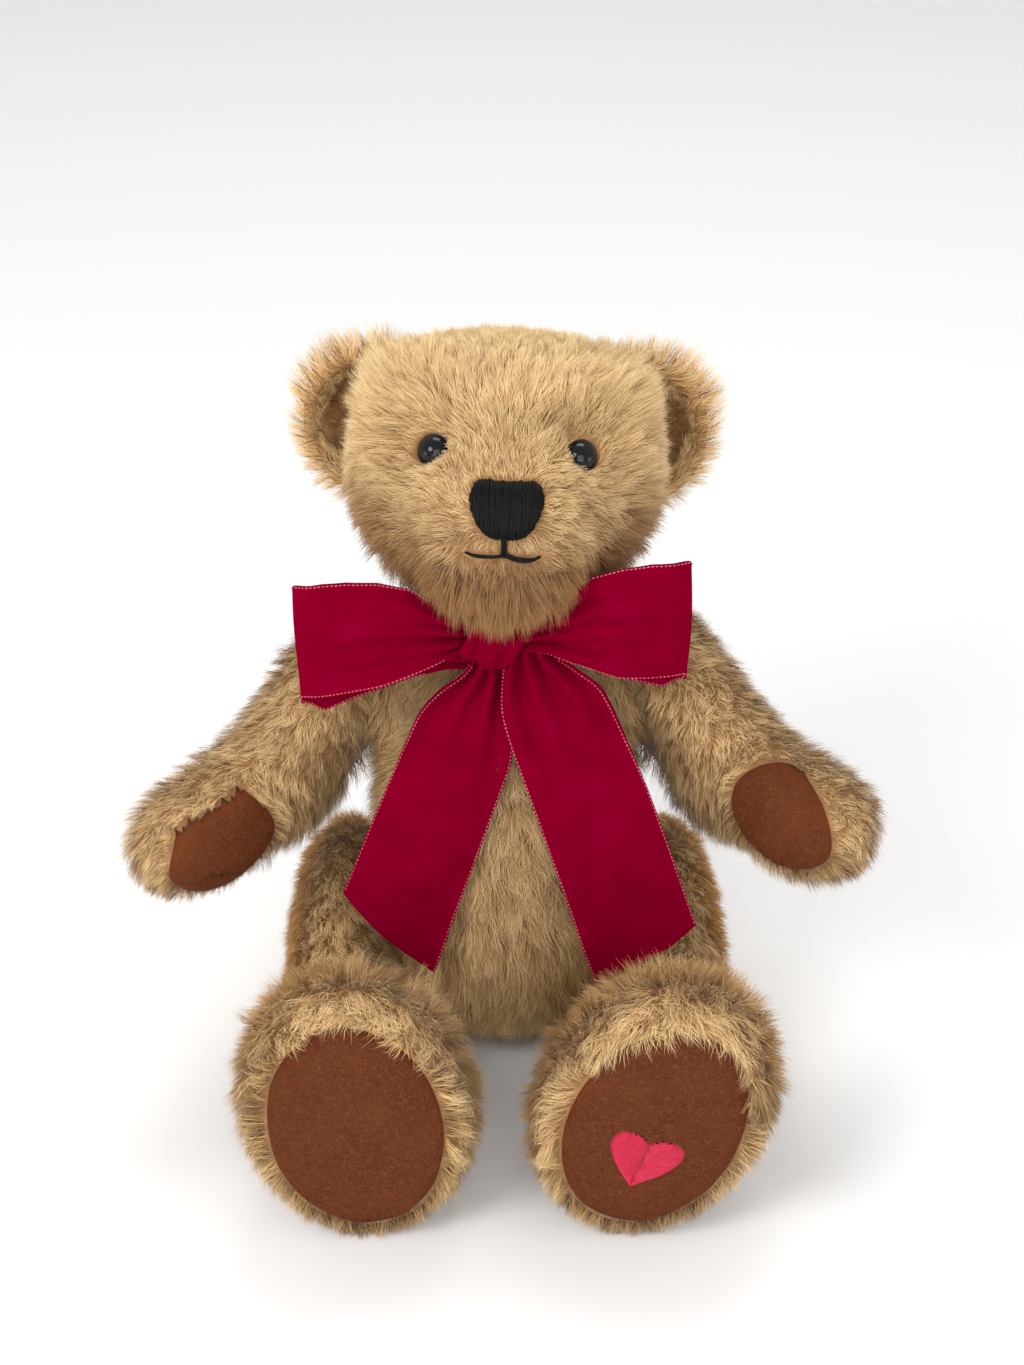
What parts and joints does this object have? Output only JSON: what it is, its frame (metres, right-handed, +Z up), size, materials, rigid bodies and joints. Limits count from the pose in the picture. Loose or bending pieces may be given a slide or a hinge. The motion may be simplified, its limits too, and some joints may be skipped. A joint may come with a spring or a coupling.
{
  "type": "jointed teddy bear",
  "caption": "Sitting mohair teddy bear with disc-jointed head, arms and legs, felt paw and foot pads, stitched nose and a velvet ribbon bow round its neck.",
  "frame": {"origin": "on the flat seat under the body, at the middle of the body from side to side", "axes": "+Z up, the bear faces -Y, its own left side is +X"},
  "size_m": [0.2217, 0.1831, 0.2279],
  "materials": {
    "mohair": "golden tan mohair plush, long pile",
    "felt": "reddish brown wool felt",
    "velvet": "crimson velvet ribbon",
    "black_thread": "black embroidery thread",
    "pink_thread": "pink embroidery thread",
    "eye": "polished black",
    "stuffing": "white polyester fibre",
    "hardboard": "pressed hardboard",
    "steel": "plain steel"
  },
  "bodies": {
    "torso": {"body_left_panel": "mohair", "body_right_panel": "mohair", "body_stuffing": "stuffing", "body_washers": "steel", "left_hip_body_disc": "hardboard", "left_shoulder_body_disc": "hardboard", "neck_body_disc": "hardboard", "ribbon_knot": "velvet", "ribbon_left_loop": "velvet", "ribbon_left_tail": "velvet", "ribbon_neckband": "velvet", "ribbon_right_loop": "velvet", "ribbon_right_tail": "velvet", "right_hip_body_disc": "hardboard", "right_shoulder_body_disc": "hardboard"},
    "head": {"head_disc": "hardboard", "head_gusset": "mohair", "head_left_panel": "mohair", "head_pin": "steel", "head_right_panel": "mohair", "head_stuffing": "stuffing", "head_washer": "steel", "left_ear_back": "mohair", "left_ear_front": "mohair", "left_eye": "eye", "mouth_stitching": "black_thread", "nose_stitching": "black_thread", "right_ear_back": "mohair", "right_ear_front": "mohair", "right_eye": "eye"},
    "left_leg": {"heart_embroidery": "pink_thread", "left_foot_pad": "felt", "left_leg_disc": "hardboard", "left_leg_inner_panel": "mohair", "left_leg_outer_panel": "mohair", "left_leg_pin": "steel", "left_leg_stuffing": "stuffing", "left_leg_washer": "steel"},
    "left_arm": {"left_arm_disc": "hardboard", "left_arm_inner_panel": "mohair", "left_arm_outer_panel": "mohair", "left_arm_pin": "steel", "left_arm_stuffing": "stuffing", "left_arm_washer": "steel", "left_paw_pad": "felt"},
    "right_arm": {"right_arm_disc": "hardboard", "right_arm_inner_panel": "mohair", "right_arm_outer_panel": "mohair", "right_arm_pin": "steel", "right_arm_stuffing": "stuffing", "right_arm_washer": "steel", "right_paw_pad": "felt"},
    "right_leg": {"right_foot_pad": "felt", "right_leg_disc": "hardboard", "right_leg_inner_panel": "mohair", "right_leg_outer_panel": "mohair", "right_leg_pin": "steel", "right_leg_stuffing": "stuffing", "right_leg_washer": "steel"}
  },
  "joints": [
    {"name": "neck_turn", "type": "hinge", "parent": "torso", "child": "head", "pos_m": [0, 0.017, 0.157], "axis": [0, 0.2079, 0.9781], "continuous": true, "deforming": ["ribbon_left_loop", "ribbon_right_loop", "ribbon_knot", "ribbon_left_tail", "ribbon_right_tail"]},
    {"name": "left_shoulder_swing", "type": "hinge", "parent": "torso", "child": "left_arm", "pos_m": [0.0355, 0.01, 0.119], "axis": [0.8619, 0.2801, 0.4226], "range_deg": [-50, 75], "deforming": ["ribbon_left_loop", "ribbon_right_loop", "ribbon_knot", "ribbon_left_tail", "ribbon_right_tail"]},
    {"name": "right_shoulder_swing", "type": "hinge", "parent": "torso", "child": "right_arm", "pos_m": [-0.0355, 0.01, 0.119], "axis": [0.8619, -0.2801, -0.4226], "range_deg": [-50, 65], "deforming": ["ribbon_left_loop", "ribbon_right_loop", "ribbon_knot", "ribbon_left_tail", "ribbon_right_tail"]},
    {"name": "left_hip_swing", "type": "hinge", "parent": "torso", "child": "left_leg", "pos_m": [0.037, 0.008, 0.031], "axis": [1, 0, 0], "range_deg": [-25, 120], "deforming": ["ribbon_left_loop", "ribbon_right_loop", "ribbon_knot", "ribbon_left_tail", "ribbon_right_tail"]},
    {"name": "right_hip_swing", "type": "hinge", "parent": "torso", "child": "right_leg", "pos_m": [-0.037, 0.008, 0.031], "axis": [1, 0, 0], "range_deg": [-25, 120], "deforming": ["ribbon_left_loop", "ribbon_right_loop", "ribbon_knot", "ribbon_left_tail", "ribbon_right_tail"]}
  ]
}
